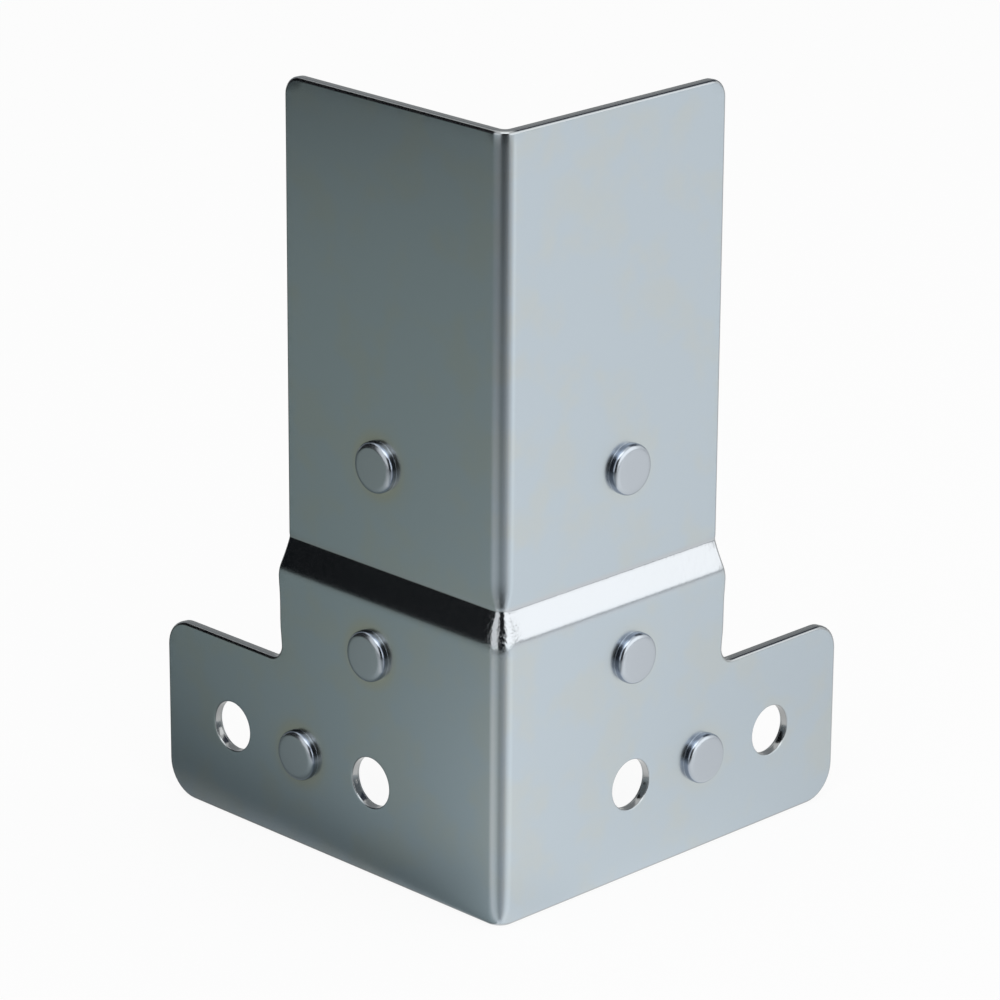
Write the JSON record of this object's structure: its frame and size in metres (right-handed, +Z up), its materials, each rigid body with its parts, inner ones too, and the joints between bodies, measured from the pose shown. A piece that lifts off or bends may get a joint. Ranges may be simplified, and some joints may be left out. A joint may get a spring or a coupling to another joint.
{
  "type": "corner brace",
  "caption": "Folded sheet-steel corner brace: a joggle sets the upper portion in, the lower portion has side ears, rivet holes and raised studs, all zinc plated.",
  "frame": {"origin": "middle of the brace's plan outline, at the height of its bottom edges", "axes": "+Z up along the fold; one leg runs along +X with its outer faces towards -Y, the other along +Y with its outer faces towards -X"},
  "size_m": [0.0474, 0.0474, 0.0762],
  "materials": {
    "zinc_plated_sheet": "bright zinc plating with clear blue passivation, satin"
  },
  "bodies": {
    "root": {"corner_brace": "zinc_plated_sheet"}
  },
  "joints": []
}
